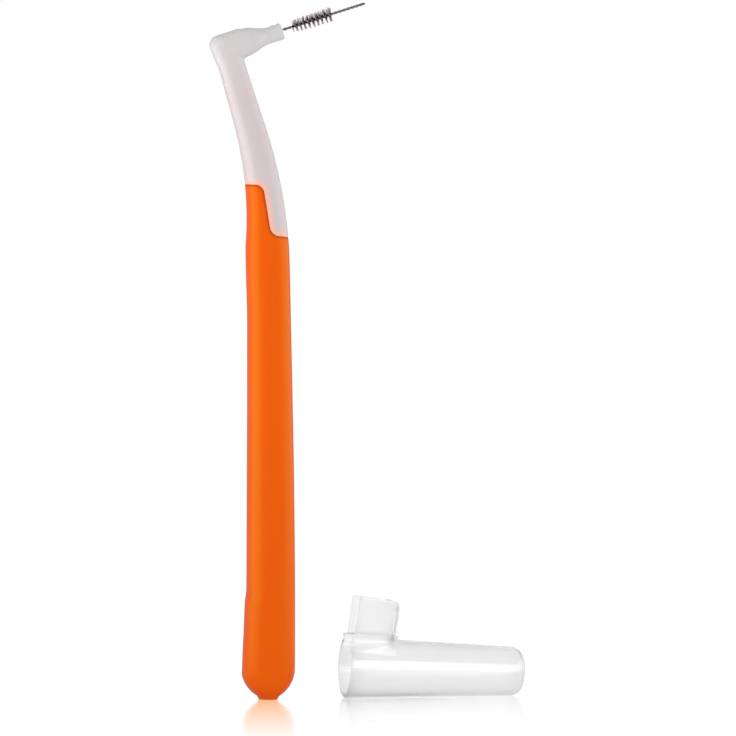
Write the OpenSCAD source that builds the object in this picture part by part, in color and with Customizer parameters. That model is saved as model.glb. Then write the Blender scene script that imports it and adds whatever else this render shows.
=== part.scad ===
// Interdental brush with a two-shot handle, an angled head and a clear travel cap.
// The brush stands on the foot of its heel at the origin, with +Z up the handle.
// The head points along +X and +Y is the far side. The cap lies beside the brush on the same floor.

/* [Grip] */
// Height of the grip's front edge, where the white neck starts
grip_h = 92.3; // [80:0.1:110]
// Width of the grip from back to front, at its heel
grip_w = 10.5; // [9.5:0.1:12.5]
// Depth of the grip from side to side, at its heel
grip_d = 7.8; // [6.5:0.1:9.5]
// Height of the rounded end of the heel
heel_h = 5.6; // [4:0.1:7]
// Width of the flat foot that the brush stands on, from back to front
foot_w = 3.9; // [3:0.1:4.4]
// Depth of the foot from side to side
foot_d = 5.4; // [4.6:0.1:5.8]
// Height of the foot below the round of the heel
foot_h = 0.6; // [0.4:0.1:1]

/* [Joint between the two shots] */
// How far the grip reaches up the back, above its front edge
joint_rise = 10.8; // [8:0.1:13]
// Radius of the grip's rounded top corner
joint_top_r = 1.9; // [1:0.1:2.6]
// Radius of the hollow in front of it
joint_low_r = 2.2; // [1:0.1:2.8]
// Place of the steep part of the joint, from the middle of the handle towards the back
joint_step_x = 1.4; // [0.8:0.1:2]
// Gap that the mouldings leave where they shrink apart
joint_gap = 0.03; // [0.02:0.01:0.06]
// Width of the tang that the grip is moulded round, from back to front
tang_w = 4; // [3:0.1:5]
// Depth of the tang from side to side
tang_d = 2.6; // [2:0.1:3.4]
// Length of the tang below the grip's front edge
tang_l = 36; // [20:1:60]

/* [Neck] */
// Width of the neck at its root, from back to front
neck_root_w = 8.6; // [7.6:0.1:9.6]
// Width of the neck below the head
neck_w = 5.3; // [4.8:0.1:5.8]
// Depth of the neck at its root, from side to side
neck_root_d = 6.4; // [5.4:0.1:7.4]
// Depth of the neck below the head
neck_d = 4.9; // [4.2:0.1:5.6]
// Angle that the neck leans back
neck_lean = 17; // [10:0.5:25]
// Radius of the bend at the foot of the neck, along its middle
neck_bend_r = 84; // [60:1:110]
// Length of the straight part of the neck
neck_l = 12.4; // [8:0.1:16]

/* [Head] */
// Height of the head at its corner
head_h = 5.9; // [5.2:0.1:6.8]
// Width of the head at its corner, past the inner corner
head_w = 5.8; // [5.3:0.1:6.6]
// Radius of the head's outer corner
corner_r = 2; // [1:0.1:2.8]
// Radius of the inner corner between neck and head
inner_r = 0.7; // [0.4:0.1:1.2]
// Length of the head's arm, from the inner corner to the nose
arm_l = 9.1; // [8:0.1:12]
// Height of the nose
nose_h = 3.2; // [2.8:0.1:3.8]
// Depth of the nose from side to side
nose_d = 3; // [2.6:0.1:3.6]
// Height of the nose's underside above the inner corner, square to the arm
nose_rise = 1.1; // [0.8:0.05:1.5]
// Height of the two grip ridges on top of the nose
ridge_h = 0.2; // [0.1:0.05:0.4]

/* [Wire] */
// Height of the wire's axis above the middle of the nose
wire_lift = 0.25; // [0:0.05:0.5]
// Diameter of the steel wire, before it is folded and twisted
wire_dia = 0.26; // [0.2:0.01:0.3]
// Gap between the wire's two legs, which the filaments fill
wire_gap = 0.1; // [0.08:0.01:0.14]
// Length that one full twist takes
twist_pitch = 1.8; // [1.5:0.1:2.4]
// Length of the wire in front of the nose
wire_free_l = 18; // [14:0.1:20]
// Length of the wire inside the nose
wire_seat_l = 5; // [4:0.5:7]
// Gap round the wire in its seat
wire_seat_gap = 0.03; // [0.02:0.01:0.06]

/* [Bristles] */
// Diameter of the brush over its filaments, at its front end
bristle_dia = 3.2; // [2.4:0.1:4]
// Diameter of the brush at the end nearer the nose
bristle_root_dia = 2.8; // [2.2:0.1:4]
// Bare wire between the nose and the first filament
bristle_start = 2.4; // [1.5:0.1:4]
// Length of the brush along the wire
bristle_l = 8.1; // [6:0.1:10]
// Number of filaments, each of which stands out on both sides of the wire
filaments = 155; // [150:1:160]
// Thickness of a filament
filament_t = 0.04; // [0.03:0.005:0.045]

/* [Cap] */
// Diameter of the cap at its mouth
cap_mouth_dia = 12.3; // [11.5:0.1:13.5]
// Diameter of the cap at its closed end
cap_end_dia = 9.6; // [9:0.1:10.6]
// Length of the cap
cap_l = 36.4; // [34:0.2:42]
// Wall of the cap
cap_wall = 0.85; // [0.7:0.05:1]
// Radius round the closed end
cap_end_r = 2.3; // [1.5:0.1:3]
// Distance from the brush's foot to the cap's mouth
cap_x = 15.75; // [13:0.25:30]

/* [Cap sleeve] */
// Length of the sleeve that slides over the neck, along the cap
sleeve_l = 8.4; // [8:0.1:10]
// Width of the sleeve from side to side
sleeve_w = 7.6; // [7.4:0.1:8.6]
// Height of the sleeve above the cap
sleeve_h = 8.4; // [6:0.1:10]
// Distance from the mouth to the sleeve
sleeve_start = 0.5; // [0.3:0.1:2]
// Angle that the sleeve leans towards the closed end
sleeve_lean = 6; // [0:0.5:8]
// Radius of the sleeve's two back edges
sleeve_r = 1.1; // [0.9:0.1:1.5]
// Radius of the corner between the sleeve's back wall and its top
sleeve_top_r = 1.3; // [0.5:0.1:2]
// Width of the saddle between sleeve and cap
saddle_w = 10.2; // [9.6:0.1:10.8]
// Height of the saddle above the cap
saddle_h = 0.6; // [0.4:0.1:1]
// Radius of the saddle's two shoulders
saddle_r = 1.4; // [0.8:0.1:1.8]

/* [Hidden] */

// Points round one section of the handle, and round a turned surface
section_sides = 32;
$fn = 96;
// Overrun of every cut past the face that it opens
over = 1;

// Shares of the height, the half width at back and front and the depth, up the grip from the heel.
// The back steps in a little at about a fifth of the height, where the cap's rim can sit.
grip_shares = [
    [0.060, 0.98, 1.01, 1.00],
    [0.095, 0.96, 1.02, 1.00],
    [0.150, 0.91, 1.02, 1.00],
    [0.215, 0.86, 1.02, 0.99],
    [0.235, 0.81, 1.02, 0.98],
    [0.330, 0.80, 1.01, 0.96],
    [0.490, 0.79, 0.98, 0.93],
    [0.650, 0.78, 0.93, 0.89],
    [0.810, 0.78, 0.87, 0.86]];
// Squareness of the heel in side view and across, and of the sections: 2 is an ellipse, more is squarer
heel_square_share = 1.8;
heel_depth_square_share = 5;
grip_square_share = 2.8;
nose_square_share = 2.2;
// Angles round the heel, from the foot to its full width
heel_angles = [24, 34, 45, 56, 68, 80];

// Shares of the arm's length, of the rise of its underside and of the fall of its top, and the share
// of the two ridges' height that each place has
arm_shares = [
    [0.11, 0.12, 0.14, 0], [0.28, 0.38, 0.30, 0], [0.45, 0.78, 0.66, 0],
    [0.58, 0.98, 0.86, 0], [0.66, 1.00, 0.94, 0], [0.74, 1.00, 0.99, 0.1],
    [0.78, 1.00, 1.00, 0.7], [0.83, 1.00, 1.00, 0.8], [0.87, 1.00, 1.00, 0.2],
    [0.90, 1.00, 1.00, 0.2], [0.94, 1.00, 1.00, 0.9], [0.985, 1.00, 1.00, 0.9],
    [1.00, 1.08, 1.06, 0]];
// Shares of the way from the head's depth to the nose's, at the same places
arm_depth_shares = [0.05, 0.25, 0.55, 0.85, 0.95, 1, 1, 1, 1, 1, 1, 0.98, 0.92];
// Shares of the way through the bend of the neck and then along its straight part
bend_shares = [0, 0.2, 0.4, 0.6, 0.8, 1];
straight_shares = [0.33, 0.67, 1];
// How far below the grip's front edge the bend starts, and how far back of the foot its middle lies
bend_start_share = 0.02;
neck_back_share = 0.012;
// Power by which the neck narrows: 1 is a straight taper, and more narrows it sooner
neck_taper_share = 1.7;
// Steps round the head's outer corner
corner_steps = 6;
// Shares of the way round the inner corner that the ribs to the flanks of the outer corner start from,
// and to the two ends of its round
inner_flank_share = 0.1;
inner_round_share = 0.2;
// Places of those ribs on the two flanks of the outer corner
back_flank_share = 0.55;
top_flank_share = 0.5;

// Shares of the joint's rise: its lean over the steep part, the depth of its hollow above the grip's
// front edge, its fall in front of that, and the top of the tang
joint_lean_share = 0.1;
joint_hollow_share = 0.04;
joint_fall_share = 0.06;
tang_top_share = 0.7;
// Slope of the joint's steep part, and of its front, from upright and from level
joint_steep = 8;
// Steps round each of the joint's two corners
joint_steps = 8;

// Where the neck bends back from the handle, as a place in X and Z along its middle
neck_root = [-neck_back_share * grip_w, grip_h * (1 - bend_start_share)];
neck_top = neck_middle(1, 1);
// Directions along the arm, and square to it away from the neck
arm_dir = [cos(neck_lean), sin(neck_lean)];
arm_up = [-sin(neck_lean), cos(neck_lean)];
// The corner where neck and arm would meet without their inner radius
inner_corner = neck_top + arm_dir * neck_w / 2 + arm_up * inner_r;

// Radius of the twisted wire, and of the path that the middle of each leg takes
wire_path_r = (wire_dia + wire_gap) / 2;
wire_r = wire_path_r + wire_dia / 2;
// The wire's axis where it leaves the nose
wire_exit = along(inner_corner, arm_dir, arm_l, arm_up, nose_rise + nose_h / 2 + wire_lift);
wire_sides = 6;
wire_rings_per_turn = 12;
// Length over which the twist dies out towards the fold at the tip
untwist_share = 0.33;
untwist_l = twist_pitch * untwist_share;
fold_steps = 6;

// The filament layer between the legs, which carries the filaments like the back of a comb
layer_width_share = 0.96;
layer_half_w = wire_r * layer_width_share;
layer_half_t = (wire_gap - filament_t) / 2;
filament_pitch = bristle_l / filaments;
filament_width_share = 0.6;
filament_w = filament_pitch * filament_width_share;
// Shares by which filaments are shorter than the longest and lean along the wire
trim_share = 0.1;
lean_share = 0.5;
trim_shares = rands(0, trim_share, 2 * filaments, 11);
lean_shares = rands(-lean_share, lean_share, 2 * filaments, 23);

// The cap tapers, and lies on one line of its wall, so its axis dips by the same angle
cap_r = cap_mouth_dia / 2;
cap_far_r = cap_end_dia / 2;
cap_dip = atan((cap_r - cap_far_r) / cap_l);
// Steps round the closed end
tube_steps = 8;
// Share of the sleeve's outer radius that is left inside its walls
sleeve_inner_share = 0.5;

function mix(a, b, share) = a + (b - a) * share;
function signed_pow(v, p) = sign(v) * pow(abs(v), p);
function along(origin, dir_a, a, dir_b, b) = origin + dir_a * a + dir_b * b;
function arc(middle, r, from, to, steps) =
    [for (i = [0:steps]) middle + r * [cos(mix(from, to, i / steps)), sin(mix(from, to, i / steps))]];

// One rib of the handle: a rounded section between a back point and a front point in X and Z
function rib(back, front, depth, square) =
    let (middle = (back + front) / 2, reach = (front - back) / 2)
    [for (i = [0:section_sides - 1])
        let (a = 360 * i / section_sides, p = middle + reach * signed_pow(cos(a), 2 / square))
        [p.x, depth / 2 * signed_pow(sin(a), 2 / square), p.y]];

// The middle of the neck, by shares of its bend and of its straight part
function neck_middle(bend, straight) =
    let (a = neck_lean * bend)
    neck_root + neck_bend_r * [cos(a) - 1, sin(a)] + neck_l * straight * [-sin(a), cos(a)];

function neck_rib(bend, straight) =
    let (a = neck_lean * bend, middle = neck_middle(bend, straight),
         narrowing = (bend * neck_bend_r * neck_lean + straight * neck_l * 180 / PI)
             / (neck_bend_r * neck_lean + neck_l * 180 / PI),
         half = mix(neck_w, neck_root_w, pow(1 - narrowing, neck_taper_share)) / 2 * [cos(a), sin(a)])
    rib(middle - half, middle + half, mix(neck_root_d, neck_d, narrowing), grip_square_share);

// A place on the outside of the head's corner, by a share of the way round
function corner_place(share) =
    let (turn = 90 * share)
    along(inner_corner, -arm_dir, head_w - corner_r + corner_r * cos(turn),
          arm_up, head_h - corner_r + corner_r * sin(turn));

// Places on the two flanks of the corner, before and after its round
function back_flank(share) = along(inner_corner, -arm_dir, mix(neck_w, head_w, share),
    arm_up, mix(-inner_r, head_h - corner_r, share));
function top_flank(share) = along(inner_corner, -arm_dir, mix(head_w - corner_r, -inner_r, share),
    arm_up, head_h);
// A place on the radius of the inner corner
function inner_place(share) = along(inner_corner, arm_dir, inner_r * (1 - cos(90 * share)),
    -arm_up, inner_r * (1 - sin(90 * share)));

function corner_ribs() = concat(
    [rib(back_flank(back_flank_share), inner_place(inner_flank_share), neck_d, grip_square_share)],
    [for (i = [0:corner_steps])
        rib(corner_place(i / corner_steps),
            inner_place(mix(inner_round_share, 1 - inner_round_share, i / corner_steps)),
            neck_d, grip_square_share)],
    [rib(top_flank(top_flank_share), inner_place(1 - inner_flank_share), neck_d, grip_square_share)],
    [rib(top_flank(1), inner_place(1), neck_d, grip_square_share)]);

function arm_rib(row, depth_share) =
    let (reach = mix(inner_r, arm_l, row[0]),
         low = nose_rise * row[1],
         high = mix(head_h, nose_rise + nose_h, row[2]) + ridge_h * row[3])
    rib(along(inner_corner, arm_dir, reach, arm_up, high),
        along(inner_corner, arm_dir, reach, arm_up, low),
        mix(neck_d, nose_d, depth_share), mix(grip_square_share, nose_square_share, depth_share));

function heel_rib(a) =
    let (reach = grip_w / 2 * pow(sin(a), 2 / heel_square_share),
         z = heel_h * (1 - pow(cos(a), 2 / heel_square_share)))
    rib([-reach, z], [reach, z], grip_d * pow(sin(a), 2 / heel_depth_square_share),
        mix(2, grip_square_share, a / 90));

function handle_ribs() = concat(
    [for (a = heel_angles) heel_rib(a)],
    [for (row = grip_shares) rib([-row[1] * grip_w / 2, row[0] * grip_h],
        [row[2] * grip_w / 2, row[0] * grip_h], row[3] * grip_d, grip_square_share)],
    [for (share = bend_shares) neck_rib(share, 0)],
    [for (share = straight_shares) neck_rib(1, share)],
    corner_ribs(),
    [for (i = [0:len(arm_shares) - 1]) arm_rib(arm_shares[i], arm_depth_shares[i])]);

// A skin over ribs or rings with the same number of points each
module loft(rings) {
    sides = len(rings[0]);
    last = len(rings) - 1;
    polyhedron(
        points = [for (ring = rings) each ring],
        faces = concat(
            [[for (i = [0:sides - 1]) i]],
            [for (r = [0:last - 1]) for (i = [0:sides - 1])
                let (a = r * sides + i, b = r * sides + (i + 1) % sides)
                each [[a, a + sides, b], [b, a + sides, b + sides]]],
            [[for (i = [sides - 1:-1:0]) last * sides + i]]));
}

// The outside of the whole handle, from heel to nose
module handle_form() {
    loft(handle_ribs());
}

// The edge of the grip in side view, from the back to the front
function joint_line() =
    let (top = grip_h + joint_rise, low = grip_h + joint_rise * joint_hollow_share)
    concat(
        [[-grip_w, top]],
        arc([-joint_step_x - joint_top_r, top - joint_top_r], joint_top_r, 90, joint_steep, joint_steps),
        arc([-joint_step_x + joint_low_r + joint_rise * joint_lean_share, low + joint_low_r],
            joint_low_r, 180 + joint_steep, 270 - joint_steep, joint_steps),
        [[grip_w, grip_h - joint_rise * joint_fall_share]]);

// Everything on the grip's side of the joint
module grip_side() {
    rotate([90, 0, 0])
        linear_extrude(height = grip_d + 2 * over, center = true)
            polygon(concat([[grip_w, -over], [-grip_w, -over]], joint_line()));
}

// The tang, or with a gap round it the space that it leaves in the grip
module tang(gap) {
    round_r = tang_d / 2 + gap;
    flat = tang_w / 2 - tang_d / 2;
    bottom = grip_h - tang_l - gap;
    top = grip_h + joint_rise * tang_top_share + gap;
    translate([0, 0, bottom])
        linear_extrude(height = top - bottom) {
            for (side = [-1, 1]) translate([side * flat, 0]) circle(r = round_r);
            square([2 * flat, 2 * round_r], center = true);
        }
}

// The foot: as wide as the heel is there, and rounded at both sides
module foot() {
    flat = foot_d - foot_w;
    linear_extrude(height = foot_h) {
        for (side = [-1, 1]) translate([0, side * flat / 2]) circle(d = foot_w);
        square([foot_w, flat], center = true);
    }
}

module grip() {
    color("darkorange")
        difference() {
            union() {
                intersection() {
                    handle_form();
                    grip_side();
                }
                foot();
            }
            tang(joint_gap);
        }
}

// Places children on the wire's axis, with +X out of the nose
module wire_frame() {
    translate([wire_exit.x, 0, wire_exit.y]) rotate([0, -neck_lean, 0]) children();
}

module core() {
    color("white")
        difference() {
            union() {
                difference() {
                    handle_form();
                    translate([joint_gap, 0, joint_gap]) grip_side();
                }
                tang(0);
            }
            wire_frame() rotate([0, -90, 0]) translate([0, 0, -over])
                cylinder(r = wire_r + wire_seat_gap, h = wire_seat_l + over + wire_seat_gap);
        }
}

// Turn of the wire at a place along its axis. The twist dies out before the fold.
function twist(s) =
    let (fold = wire_free_l - wire_r, easing = s - (fold - untwist_l))
    360 / twist_pitch * (easing < 0 ? s : s - easing * easing / (2 * untwist_l));
function twist_rate(s) =
    let (easing = s - (wire_free_l - wire_r - untwist_l))
    360 / twist_pitch * (easing < 0 ? 1 : 1 - easing / untwist_l);

// A ring of points round the wire, in the plane of two square directions
function wire_ring(middle, out, side) =
    [for (i = [0:wire_sides - 1])
        middle + wire_dia / 2 * (out * cos(360 * i / wire_sides) + side * sin(360 * i / wire_sides))];

function leg_ring(s, leg) =
    let (a = twist(s) + 90, out = leg * [0, cos(a), sin(a)],
         way = leg * [1, 0, 0] + wire_path_r * twist_rate(s) * PI / 180 * [0, -sin(a), cos(a)],
         side = cross(way / norm(way), out))
    wire_ring([s, 0, 0] + wire_path_r * out, out, side);

function fold_ring(turn) =
    let (s = wire_free_l - wire_r, a = twist(s) + 90, up = [0, cos(a), sin(a)], ahead = [1, 0, 0],
         out = up * cos(turn) + ahead * sin(turn), way = ahead * cos(turn) - up * sin(turn))
    wire_ring([s, 0, 0] + wire_path_r * out, out, cross(way, out));

// One unbroken wire: out along one leg, round the fold at the tip and back along the other
module wire() {
    fold = wire_free_l - wire_r;
    steps = ceil((fold + wire_seat_l) / twist_pitch * wire_rings_per_turn);
    places = [for (i = [0:steps]) mix(-wire_seat_l, fold, i / steps)];
    color("silver")
        wire_frame()
            loft(concat(
                [for (i = [0:steps]) leg_ring(places[i], 1)],
                [for (i = [1:fold_steps - 1]) fold_ring(180 * i / fold_steps)],
                [for (i = [steps:-1:0]) leg_ring(places[i], -1)]));
}

// A point of the filament layer or of a filament: along the wire, out from it, and off the layer
function layer_point(s, turn, out, off) =
    [s, out * cos(turn) - off * sin(turn), out * sin(turn) + off * cos(turn)];

// How far out the longest filaments reach at a place along the brush
function tip_r(i) = mix(bristle_root_dia, bristle_dia, i / (filaments - 1)) / 2;

// Eight points at the root and at the tip of the two filament ends at one place: for each side
// of the wire, the near and the far end along the wire, each below and above the layer
function filament_roots(i) =
    let (s = bristle_start + filament_pitch * (i + 0.5))
    [for (side = [1, -1]) for (end = [-1, 1]) for (off = [-1, 1])
        let (place = s + end * filament_w / 2)
        layer_point(place, twist(place), side * layer_half_w, off * layer_half_t)];
function filament_tips(i) =
    let (s = bristle_start + filament_pitch * (i + 0.5))
    [for (side = [0, 1]) for (end = [-1, 1]) for (off = [-1, 1])
        layer_point(s + end * filament_w / 2 + lean_shares[2 * i + side] * filament_pitch,
            twist(s), (side == 0 ? 1 : -1) * tip_r(i) * (1 - trim_shares[2 * i + side]),
            off * layer_half_t)];

// Faces of the two filament ends at one place, from its first point on
function filament_faces(p) =
    [for (side = [0, 4])
        let (r = p + side, t = p + 8 + side, ring = [0, 1, 3, 2])
        each concat(
            [for (k = [0:3]) let (a = ring[k], b = ring[(k + 1) % 4])
                each side == 0
                    ? [[r + a, t + a, r + b], [r + b, t + a, t + b]]
                    : [[r + a, r + b, t + a], [r + b, t + b, t + a]]],
            side == 0
                ? [[t, t + 2, t + 1], [t + 1, t + 2, t + 3]]
                : [[t, t + 1, t + 2], [t + 1, t + 3, t + 2]])];

// Two faces over a strip of the layer between four points
function strip(a, b, c, d) = [[a, b, c], [a, c, d]];

// The layer's faces across one place, and from it to the next
function layer_faces(p) = concat(
    strip(p + 1, p + 3, p + 7, p + 5),
    strip(p, p + 4, p + 6, p + 2));
function bridge_faces(p, n) = concat(
    strip(p + 3, n + 1, n + 5, p + 7),
    strip(p + 2, p + 6, n + 4, n),
    strip(p + 2, n, n + 1, p + 3),
    strip(p + 6, p + 7, n + 5, n + 4));

module bristles() {
    stride = 16;
    last = stride * (filaments - 1);
    color("dimgray")
        wire_frame()
            polyhedron(
                points = [for (i = [0:filaments - 1]) each concat(filament_roots(i), filament_tips(i))],
                faces = concat(
                    [for (i = [0:filaments - 1]) each
                        concat(filament_faces(stride * i), layer_faces(stride * i))],
                    [for (i = [0:filaments - 2]) each bridge_faces(stride * i, stride * (i + 1))],
                    strip(0, 1, 5, 4),
                    strip(last + 2, last + 6, last + 7, last + 3)));
}

// Places children on the cap's axis, with +Z into the cap and +X up
module cap_frame() {
    translate([cap_x, 0, cap_r * cos(cap_dip)]) rotate([0, 90 + cap_dip, 0]) rotate([0, 0, 180])
        children();
}

// Half the section of the tapered tube, closed at its far end. A wall of 0 gives the outside, filled.
module tube_half(wall) {
    r = cap_end_r - wall;
    end = cap_l - wall;
    corner_x = cap_far_r - wall / cos(cap_dip) - r * (1 - sin(cap_dip)) / cos(cap_dip)
        + wall * tan(cap_dip);
    polygon(concat(
        [[0, 0], [cap_r - wall / cos(cap_dip), 0]],
        arc([corner_x, end - r], r, cap_dip, 90, tube_steps),
        [[0, end]]));
}

// The sleeve's outline in plan, open towards the mouth, or with a wall its inside
module sleeve_plan(wall) {
    half = sleeve_w / 2 - wall;
    far = sleeve_start + sleeve_l - wall;
    near = wall > 0 ? -sleeve_l : sleeve_start;
    r = mix(sleeve_r, sleeve_r * sleeve_inner_share, wall / cap_wall);
    for (side = [-1, 1]) translate([far - r, side * (half - r)]) circle(r = r);
    translate([near, -half]) square([far - r - near, 2 * half]);
    translate([far - 2 * r, r - half]) square([2 * r, 2 * (half - r)]);
}

// The sleeve's outline from the side, with its back top corner rounded. X is up and Y is along the cap.
module sleeve_side() {
    top = cap_r + sleeve_h;
    far = sleeve_start + sleeve_l;
    translate([top - sleeve_top_r, far - sleeve_top_r]) circle(r = sleeve_top_r);
    square([top - sleeve_top_r, far]);
    square([top, far - sleeve_top_r]);
}

// The saddle's outline seen along the cap
module saddle_plan() {
    top = cap_r + saddle_h;
    half = saddle_w / 2;
    for (side = [-1, 1]) translate([top - saddle_r, side * (half - saddle_r)]) circle(r = saddle_r);
    translate([0, -half]) square([top - saddle_r, saddle_w]);
    translate([0, saddle_r - half]) square([top, saddle_w - 2 * saddle_r]);
}

// Extrudes a plan of the cap's length and width upwards from its axis
module upwards(height) {
    rotate([0, 90, 0]) linear_extrude(height = height) mirror([1, 0]) children();
}

// The sleeve's solid block, square to the cap
module sleeve_block() {
    intersection() {
        upwards(cap_r + sleeve_h) sleeve_plan(0);
        rotate([90, 0, 0]) linear_extrude(height = sleeve_w, center = true)
            sleeve_side();
    }
}

module cap() {
    color("aliceblue", 0.5)
        cap_frame()
            difference() {
                union() {
                    rotate_extrude() tube_half(0);
                    translate([0, 0, sleeve_start]) linear_extrude(height = sleeve_l) saddle_plan();
                    rotate([0, -sleeve_lean, 0]) sleeve_block();
                }
                translate([0, 0, -over]) cylinder(r = cap_r - cap_wall / cos(cap_dip), h = over);
                rotate_extrude() tube_half(cap_wall);
                rotate([0, -sleeve_lean, 0]) upwards(cap_r + sleeve_h + over) sleeve_plan(cap_wall);
            }
}

core();
grip();
wire();
bristles();
cap();
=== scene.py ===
"""Interdental brush with its travel cap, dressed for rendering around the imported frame.

The file is laid out as a Blender add-on and is run as a script. Sizes in the code are in
millimetres, and meshes are written in metres.
"""

import math
from functools import partial
from types import SimpleNamespace

import bmesh
import bpy
import numpy as np
from bpy.props import FloatProperty, FloatVectorProperty, IntProperty, PointerProperty
from mathutils import Matrix, Vector


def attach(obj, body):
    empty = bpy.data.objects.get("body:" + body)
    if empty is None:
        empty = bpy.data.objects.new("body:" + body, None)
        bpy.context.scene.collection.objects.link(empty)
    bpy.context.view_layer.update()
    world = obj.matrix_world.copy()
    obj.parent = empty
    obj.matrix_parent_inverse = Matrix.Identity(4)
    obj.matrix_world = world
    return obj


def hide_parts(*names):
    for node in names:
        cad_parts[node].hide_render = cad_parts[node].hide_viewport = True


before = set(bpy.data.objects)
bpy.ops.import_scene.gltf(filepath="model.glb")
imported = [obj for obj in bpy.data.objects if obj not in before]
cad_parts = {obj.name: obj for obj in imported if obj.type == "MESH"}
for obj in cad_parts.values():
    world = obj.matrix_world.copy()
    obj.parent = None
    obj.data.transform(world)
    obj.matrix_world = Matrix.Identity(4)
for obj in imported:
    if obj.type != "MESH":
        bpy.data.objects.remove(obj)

bl_info = {
    "name": "Interdental brush",
    "version": (1, 0, 0),
    "blender": (4, 5, 0),
    "location": "View3D > Sidebar > Brush",
    "description": "Builds a two-shot interdental brush, its twisted head, its clear cap and a stage",
    "category": "Add Mesh",
}

MM = 0.001
JOINT_ATTRIBUTE = "joint_distance"
REACH_ATTRIBUTE = "reach"
TONE_ATTRIBUTE = "tone"


# Settings

def length(name, description, millimetres):
    """A length that a user may change."""
    return FloatProperty(name=name, description=description, default=millimetres * MM, min=0.0,
                         subtype="DISTANCE", unit="LENGTH", precision=5)


def colour(name, description, value):
    """A linear colour that a user may change."""
    return FloatVectorProperty(name=name, description=description, default=value, size=3,
                               min=0.0, max=1.0, subtype="COLOR")


def share(name, description, value, high=1.0):
    """A plain number that a user may change."""
    return FloatProperty(name=name, description=description, default=value, min=0.0, max=high)


def angle(name, description, degrees):
    """An angle that a user may change."""
    return FloatProperty(name=name, description=description, default=math.radians(degrees),
                         subtype="ANGLE", unit="ROTATION")


class BRUSH_PG_handle(bpy.types.PropertyGroup):
    """Sizes and colours of the two-shot handle."""
    grip_h: length("Grip height", "Height of the grip's front edge", 92.3)
    grip_w: length("Grip width", "Width of the grip from back to front, at its heel", 10.5)
    grip_d: length("Grip depth", "Depth of the grip from side to side, at its heel", 7.8)
    heel_h: length("Heel height", "Height of the rounded end of the heel", 5.6)
    foot_w: length("Foot width", "Width of the flat foot, from back to front", 3.9)
    foot_d: length("Foot depth", "Depth of the flat foot from side to side", 5.4)
    joint_rise: length("Joint rise", "How far the grip reaches up the back", 10.8)
    joint_top_r: length("Joint top radius", "Radius of the grip's rounded top corner", 1.9)
    joint_low_r: length("Joint hollow radius", "Radius of the hollow in front of it", 2.2)
    joint_step_x: length("Joint step", "Place of the joint's steep part towards the back", 1.4)
    joint_gap: length("Joint gap", "Gap that the mouldings leave where they shrink apart", 0.03)
    groove: length("Joint groove", "Depth of the fine groove along the joint", 0.07)
    tang_w: length("Tang width", "Width of the tang inside the grip", 4.0)
    tang_d: length("Tang depth", "Depth of the tang inside the grip", 2.6)
    tang_l: length("Tang length", "Length of the tang below the grip's front edge", 36.0)
    neck_root_w: length("Neck root width", "Width of the neck at its root", 8.6)
    neck_w: length("Neck width", "Width of the neck below the head", 5.3)
    neck_root_d: length("Neck root depth", "Depth of the neck at its root", 6.4)
    neck_d: length("Neck depth", "Depth of the neck below the head", 4.9)
    neck_lean: angle("Neck lean", "Angle that the neck leans back", 17.0)
    neck_bend_r: length("Neck bend radius", "Radius of the bend at the foot of the neck", 84.0)
    neck_l: length("Neck length", "Length of the straight part of the neck", 12.4)
    head_h: length("Head height", "Height of the head at its corner", 5.9)
    head_w: length("Head width", "Width of the head at its corner", 5.8)
    corner_r: length("Corner radius", "Radius of the head's outer corner", 2.0)
    inner_r: length("Inner radius", "Radius between neck and head", 0.7)
    arm_l: length("Arm length", "Length from the inner corner to the nose", 9.1)
    nose_h: length("Nose height", "Height of the nose", 3.2)
    nose_d: length("Nose depth", "Depth of the nose from side to side", 3.0)
    nose_rise: length("Nose rise", "Height of the nose's underside above the inner corner", 1.1)
    ridge_h: length("Ridge height", "Height of the two grip ridges on top of the nose", 0.2)
    wire_lift: length("Wire lift", "Height of the wire's axis above the middle of the nose", 0.25)
    grip_colour: colour("Grip colour", "Orange of the second shot", (0.82, 0.092, 0.0025))
    # Painted shade: a darker orange along the grip's upper edge, standing in for the shade in the
    # joint's groove
    seam_shade_colour: colour("Seam colour", "Orange of the grip along its upper edge", (0.50, 0.050, 0.002))
    core_colour: colour("Core colour", "Off-white of the head", (0.585, 0.57, 0.57))
    # Painted glow: the lower neck takes a warmer, pinker white, standing in for the orange grip's light
    # on it
    neck_glow_colour: colour("Neck colour", "Off-white of the neck, which the grip below it warms",
                        (0.595, 0.515, 0.53))
    glow_from: length("Warmth starts", "Height below which the neck takes on its warmer white", 133.0)
    glow_to: length("Warmth is full", "Height at which the neck has all of its warmer white", 120.0)
    # Painted glow: a peach tint on the white along the joint, standing in for the orange's light
    # reflected onto it and shining through it
    painted_rim_colour: colour("Rim colour", "Tint of the white where the orange shines through it",
                       (0.92, 0.46, 0.34))


class BRUSH_PG_wire(bpy.types.PropertyGroup):
    """Sizes and colour of the twisted wire."""
    wire_dia: length("Wire diameter", "Diameter of the wire before it is folded and twisted", 0.295)
    wire_gap: length("Leg gap", "Gap between the two legs, which the filaments fill", 0.015)
    pitch: length("Twist pitch", "Length that one full twist takes", 1.8)
    free_l: length("Free length", "Length of the wire in front of the nose", 18.0)
    seat_l: length("Seat length", "Length of the wire inside the nose", 5.0)
    untwist_l: length("Untwist length", "Length over which the twist dies out at the fold", 0.594)
    seat_gap: length("Seat gap", "Gap round the wire in its seat", 0.03)
    points: IntProperty(name="Points", description="Points along the whole wire", default=720, min=50)
    sides: IntProperty(name="Sides", description="Sides of the wire's section", default=12, min=3)
    steel_colour: colour("Steel colour", "Colour of the steel", (0.46, 0.40, 0.40))


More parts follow.
